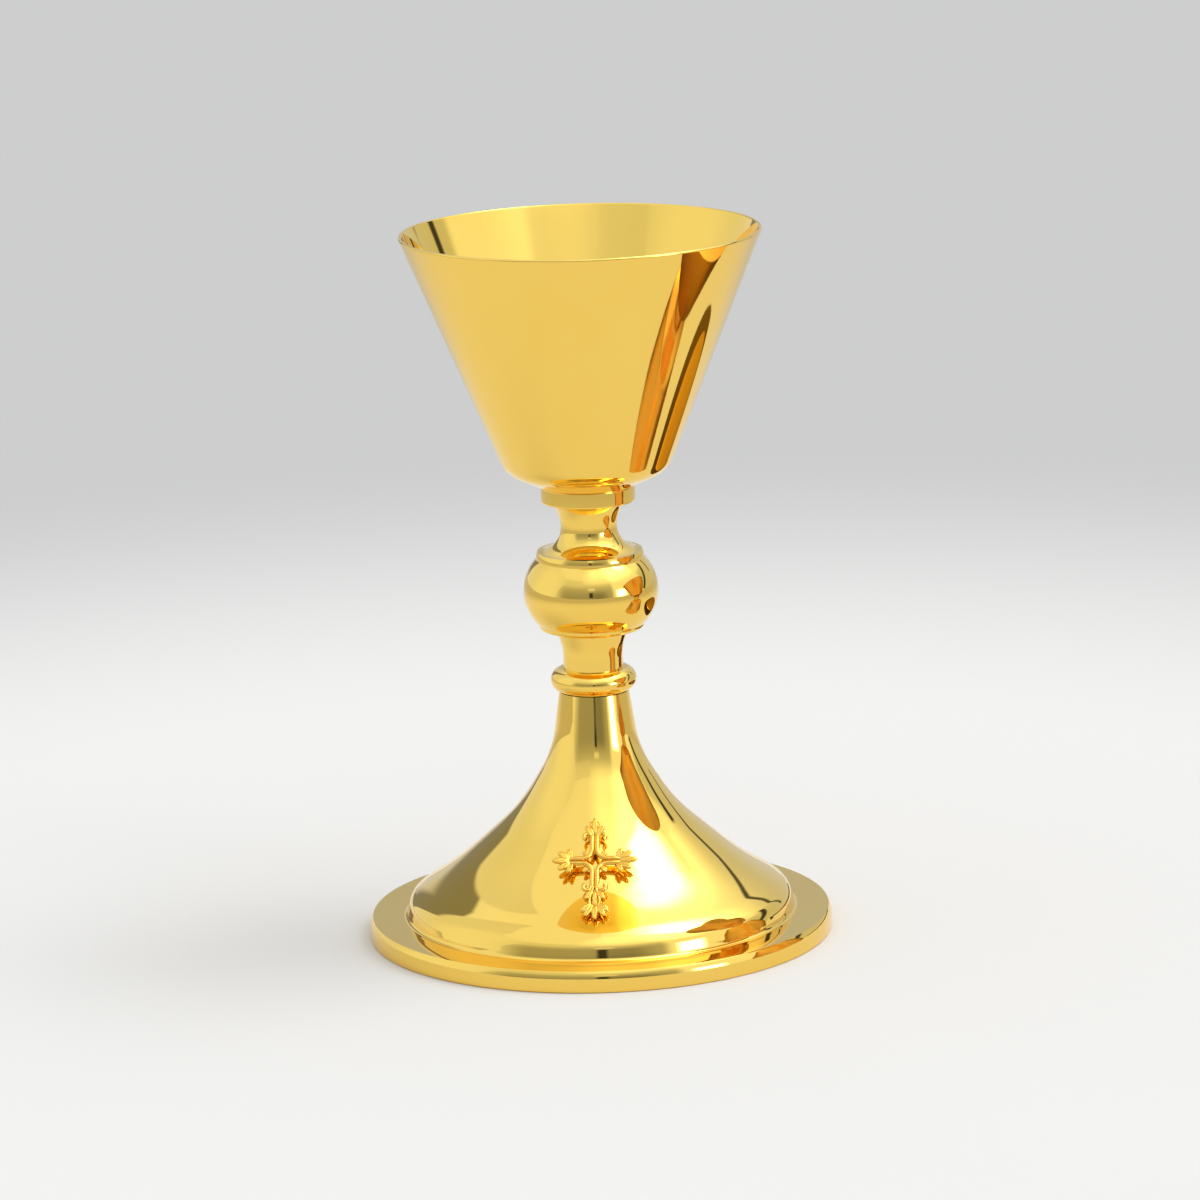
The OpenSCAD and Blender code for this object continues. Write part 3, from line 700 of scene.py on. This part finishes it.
for group, name, mesh, sizes in (
    (bars, "strands", path_mesh, strand_sizes),
    (foliage, "leaves", root_mesh, leaf_sizes),
):
    grown = made_by(group, name, mesh, sizes)
    casting.from_mesh(grown.data)
    bpy.data.objects.remove(grown)

# A web closes the groove between the strands of each arm from behind, up to the open centre.
WEB_W, WEB_T, OPENING = 1.5, 0.7, 2.7
WEB_TOP, WEB_FOOT = TOP_END + 1, FOOT_END + 7
for heading, length in ((0, SIDE_END), (90, WEB_TOP), (180, SIDE_END), (270, WEB_FOOT)):
    bar = bmesh.ops.create_cube(casting, size=1.0)["verts"]
    shape = Matrix.Diagonal(((length - OPENING) * MM, WEB_W * MM, WEB_T * MM, 1))
    seat = Matrix.Translation(((length + OPENING) / 2 * MM, 0, WEB_T / 2 * MM))
    along = Matrix.Rotation(math.radians(heading), 4, "Z")
    bmesh.ops.transform(casting, verts=bar, matrix=along @ seat @ shape)
bmesh.ops.transform(casting, verts=casting.verts, matrix=lie @ Matrix.Translation((0, 0, cross_lift)))
cross_mesh = bpy.data.meshes.new("cross")
casting.to_mesh(cross_mesh)
casting.free()
cross_mesh.materials.append(gold_cast)
cross = bpy.data.objects.new("cross", cross_mesh)
bpy.context.scene.collection.objects.link(cross)
bpy.data.objects.remove(pattern_leaf)
stand_for(cross, "cross")

# Rod, boss, bush, studs, washers and nuts: plain brass as it left the lathe, unplated, inside the
# stem and the hollow foot. Fine tool marks run round them, and the brass has dulled unevenly.
MARK_W, DULL_W = 0.25, 4
raw_brass, tree, shader, place = metal("turned brass, unplated")
dulling = add(tree, "ShaderNodeTexNoise", {"Vector": place, "Scale": 1 / (DULL_W * MM), "Detail": 4.0})
tone = add(
    tree,
    "ShaderNodeMix",
    {"Factor": dulling.outputs["Fac"], 6: linear("#C7A04C"), 7: linear("#94722F")},
    data_type="RGBA",
)
marks = add(
    tree,
    "ShaderNodeTexWave",
    {"Vector": place, "Scale": math.pi / 10 / (MARK_W * MM), "Distortion": 0.6},
    bands_direction="Z",
)
grooves = add(
    tree,
    "ShaderNodeBump",
    {"Height": marks.outputs["Fac"], "Strength": 0.3, "Distance": 0.03 * MM},
)
worn = add(
    tree,
    "ShaderNodeMapRange",
    {"Value": dulling.outputs["Fac"], "To Min": 0.22, "To Max": 0.42},
)
tree.links.new(tone.outputs[2], shader.inputs["Base Color"])
tree.links.new(worn.outputs["Result"], shader.inputs["Roughness"])
tree.links.new(grooves.outputs["Normal"], shader.inputs["Normal"])


def finish_node(node, finish):
    """Gives a CAD node its material."""
    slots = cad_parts[node].data.materials
    slots.clear()
    slots.append(finish)


for node in ("cup_boss", "base_bush", "tie_rod", "tie_washer", "tie_nut"):
    finish_node(node, raw_brass)
for node in ("cross_studs", "cross_washers", "cross_nuts"):
    finish_node(node, raw_brass)

# Spring washer: a split ring of hardened steel between the washer and the nut, which keeps the nut
# tight. Its heat treatment left it blued grey and faintly pitted.
PIT_W = 1.5
spring_steel, tree, shader, place = metal("blued spring steel")
scale_marks = add(tree, "ShaderNodeTexNoise", {"Vector": place, "Scale": 1 / (PIT_W * MM), "Detail": 3.0})
blue = add(
    tree,
    "ShaderNodeMix",
    {"Factor": scale_marks.outputs["Fac"], 6: linear("#6C6E74"), 7: linear("#8E8D8B")},
    data_type="RGBA",
)
pitting = add(
    tree,
    "ShaderNodeBump",
    {"Height": scale_marks.outputs["Fac"], "Strength": 0.2, "Distance": 0.02 * MM},
)
shader.inputs["Roughness"].default_value = 0.36
tree.links.new(blue.outputs[2], shader.inputs["Base Color"])
tree.links.new(pitting.outputs["Normal"], shader.inputs["Normal"])
finish_node("tie_spring_washer", spring_steel)

# Floor: a plain sheet of pale matt paper under the chalice.
# Its colour holds a painted pool of light: palest round the foot, and darker further out as painted
# falloff.
FLOOR_HALF, PAINTED_POOL_IN, PAINTED_POOL_OUT = 6, 0.25, 0.7
floor_mesh = bpy.data.meshes.new("floor")
floor_corners = [(x * FLOOR_HALF, y * FLOOR_HALF, 0) for x, y in ((-1, -1), (1, -1), (1, 1), (-1, 1))]
floor_mesh.from_pydata(floor_corners, [], [(0, 1, 2, 3)])
floor = bpy.data.objects.new("floor", floor_mesh)
bpy.context.scene.collection.objects.link(floor)
paper = bpy.data.materials.new("pale paper")
paper.use_nodes = True
tree = paper.node_tree
from_foot = add(
    tree,
    "ShaderNodeVectorMath",
    {0: add(tree, "ShaderNodeTexCoord").outputs["Object"]},
    operation="LENGTH",
)
# Painted light: the distance from the foot sets how lit the paper is painted.
painted_light_pool = add(
    tree,
    "ShaderNodeMapRange",
    {"Value": from_foot.outputs["Value"], "From Min": PAINTED_POOL_IN, "From Max": PAINTED_POOL_OUT},
    interpolation_type="SMOOTHSTEP",
)
# Painted light pool: the paler colour is the painted pool round the foot, and the darker one is the
# painted falloff further out.
shade = add(
    tree,
    "ShaderNodeMix",
    {"Factor": painted_light_pool.outputs["Result"], 6: linear("#D8D2CB"), 7: linear("#B6B1AC")},
    data_type="RGBA",
)
shader = tree.nodes["Principled BSDF"]
tree.links.new(shade.outputs[2], shader.inputs["Base Color"])
shader.inputs["Roughness"].default_value = 0.8
shader.inputs["Specular IOR Level"].default_value = 0.0
floor_mesh.materials.append(paper)

# Studio light: a white tent of soft panels round the chalice, with a gap where the camera stands.
# A panel's place is its direction in degrees: round from the camera to the right, and up.
AZIMUTH = math.radians(2.2)
DAYLIGHT = (0.965, 1.03, 1.1, 1)
world = bpy.data.worlds.new("studio tent")
world.use_nodes = True
tree = world.node_tree
way = add(
    tree,
    "ShaderNodeVectorRotate",
    {"Vector": add(tree, "ShaderNodeTexCoord").outputs["Generated"], "Angle": -AZIMUTH},
    rotation_type="Z_AXIS",
)
way = add(tree, "ShaderNodeSeparateXYZ", {0: way.outputs[0]})
ahead = add(tree, "ShaderNodeMath", {0: way.outputs["Y"], 1: -1.0}, operation="MULTIPLY")
round_by = add(tree, "ShaderNodeMath", {0: way.outputs["X"], 1: ahead.outputs[0]}, operation="ARCTAN2")
up_by = add(tree, "ShaderNodeMath", {0: way.outputs["Z"]}, operation="ARCSINE")
heading = add(tree, "ShaderNodeCombineXYZ", {"X": round_by.outputs[0], "Y": up_by.outputs[0]})


def panel(behind, place, half_size, soft, radiance, lean=0.0):
    """Hangs a panel with soft edges in front of what is already there. All angles are in degrees."""
    local = add(
        tree,
        "ShaderNodeMapping",
        {
            "Vector": heading.outputs[0],
            "Location": [math.radians(a) for a in place] + [0],
            "Rotation": (0, 0, math.radians(lean)),
            "Scale": [math.radians(a) for a in half_size] + [1],
        },
        vector_type="TEXTURE",
    )
    off = add(tree, "ShaderNodeVectorMath", {0: local.outputs[0]}, operation="ABSOLUTE")
    off = add(tree, "ShaderNodeSeparateXYZ", {0: off.outputs[0]})
    cover = []
    for axis, half in zip("XY", half_size):
        edge = soft / half
        fade = add(
            tree,
            "ShaderNodeMapRange",
            {"Value": off.outputs[axis], "From Min": 1 + edge, "From Max": 1 - edge},
            interpolation_type="SMOOTHSTEP",
        )
        cover.append(fade.outputs["Result"])
    both = add(tree, "ShaderNodeMath", {0: cover[0], 1: cover[1]}, operation="MULTIPLY")
    return add(tree, "ShaderNodeMix", {"Factor": both.outputs[0], 2: behind, 3: radiance}).outputs[0]


# The back wall, which runs up into the ceiling.
light = add(
    tree,
    "ShaderNodeMapRange",
    {
        "Value": up_by.outputs[0],
        "From Min": math.radians(15),
        "From Max": math.radians(52),
        "To Min": 0.68,
        "To Max": 1.05,
    },
    interpolation_type="SMOOTHSTEP",
).outputs["Result"]
# The dim foot of the back wall, a dimmer panel above the camera's left, the gap in front, darker
# beside the camera, and a narrow gap behind the left wall.
light = panel(light, (176, 12), (4, 6), 2.5, 0.55)
light = panel(light, (-176, 12), (4, 6), 2.5, 0.52)
light = panel(light, (-35, 34), (20, 8), 1.2, 0.86)
light = panel(light, (-10, 0), (50, 21), 19, 0.39)
light = panel(light, (12, 3), (12, 10), 8, 0.26)
light = panel(light, (-150, 15), (8, 30), 1.6, 0.27, lean=-23)
# The left wall, brighter towards the front, and the right wall.
light = panel(light, (-102, 16), (41, 40), 1.0, 0.87, lean=-20)
light = panel(light, (-88, 18), (27, 36), 16, 1.0)
light = panel(light, (71, 18), (32, 28), 4, 1.1)
# The window high on the right and its brightest part, with the dark edges of its frame.
light = panel(light, (70, 66), (78, 24), 18, 1.5)
light = panel(light, (84, 58), (44, 17), 14, 2.4)
light = panel(light, (100, 64), (21, 12), 9, 7.5)
light = panel(light, (112, 40), (10, 10), 5, 1.25)
light = panel(light, (116, 15), (20, 2.6), 1.2, 0.06, lean=48)
light = panel(light, (142.5, 22), (1.3, 14), 0.8, 0.1, lean=-17)
# A small bright lamp low on the right, the camera, and the lamp above it.
light = panel(light, (54, 6), (8, 8), 3, 7.0)
light = panel(light, (0, 8), (3, 6), 1.5, 0.05)
light = panel(light, (1, 22), (6, 3), 2, 0.9)
tree.links.new(light, tree.nodes["Background"].inputs["Strength"])
tree.nodes["Background"].inputs["Color"].default_value = DAYLIGHT
bpy.context.scene.world = world


# Reflectors: a warm gilt stand and a dark dish beside the chalice, out of the camera's sight, which
# give the polished gold the warm dark streaks on its right side.
def around(azimuth, distance):
    """A place in metres on the table, by its direction in degrees from the camera to the right."""
    a = math.radians(azimuth) + AZIMUTH
    return Vector((distance * math.sin(a), -distance * math.cos(a), 0))


EDGE_BROWN = "#3A2410"


def reflector(name, outline, place, colour):
    """Turns an outline in mm, and sets it where only reflections show it. Its edges look darker."""
    finish, _, shader, _ = metal(name)
    shader.inputs["Base Color"].default_value = linear(colour)
    shader.inputs["Specular Tint"].default_value = linear(EDGE_BROWN)
    shader.inputs["Roughness"].default_value = 0.3
    shape = turn_piece(name, outline, finish, steps_round=96)
    shape.data.transform(Matrix.Translation(place))
    shape.visible_camera = False
    shape.visible_diffuse = False
    shape.visible_shadow = False


stand_outline = [
    (0, 1, 0),
    (46, 1, 2),
    (46, 8, 3),
    (38, 32, 20),
    (30, 54, 6),
    (14, 62, 3),
    (14, 78, 4),
    (34, 88, 8),
    (67, 145, 0),
    (0, 145, 0),
]
dish_outline = [(0, 1, 0), (88, 1, 0), (90, 6, 1), (64, 3, 4), (0, 3, 0)]
gilding_outline = [(0, 4, 0), (72, 5, 0), (70, 6, 0), (0, 5, 0)]
dish_place = around(128, 0.238)
reflector("gilt_stand", stand_outline, around(79.5, 0.168), "#F6C178")
reflector("dark_dish", dish_outline, dish_place, "#6B5228")
reflector("dish_gilding", gilding_outline, dish_place + around(160, 0.013), "#D9A040")

# Camera: at the photograph's angle, a little above the rim, with the slight lean of the picture.
# It stands off from a point on the stem's axis and aims just beside it. Places are in metres.
ELEVATION, DISTANCE, ROLL = math.radians(12.526), 1.6003, math.radians(-1.78)
FOCAL_PIXELS, FRAME_PIXELS, SENSOR = 5712.7, 1200, 36.0
STAND_OFF_Z, AIM_ACROSS, AIM_Z = 0.0984, 0.00245, 0.09527
across = Vector((math.cos(AZIMUTH), math.sin(AZIMUTH), 0))
toward = Vector((math.sin(AZIMUTH), -math.cos(AZIMUTH), 0))
height = STAND_OFF_Z + DISTANCE * math.sin(ELEVATION)
stand = toward * DISTANCE * math.cos(ELEVATION) + Vector((0, 0, height))
look = (across * AIM_ACROSS + Vector((0, 0, AIM_Z)) - stand).normalized()
right = look.cross(Vector((0, 0, 1))).normalized()
up = right.cross(look)
tilted_right = right * math.cos(ROLL) + up * math.sin(ROLL)
tilted_up = up * math.cos(ROLL) - right * math.sin(ROLL)
lens = bpy.data.cameras.new("camera")
lens.sensor_width = SENSOR
lens.lens = FOCAL_PIXELS / FRAME_PIXELS * SENSOR
lens.clip_start, lens.clip_end = 0.05, 50
camera = bpy.data.objects.new("camera", lens)
axes = Matrix((tilted_right, tilted_up, -look)).transposed()
camera.matrix_world = Matrix.Translation(stand) @ axes.to_4x4()
bpy.context.scene.collection.objects.link(camera)
bpy.context.scene.camera = camera
bpy.context.scene.view_settings.view_transform = "Standard"
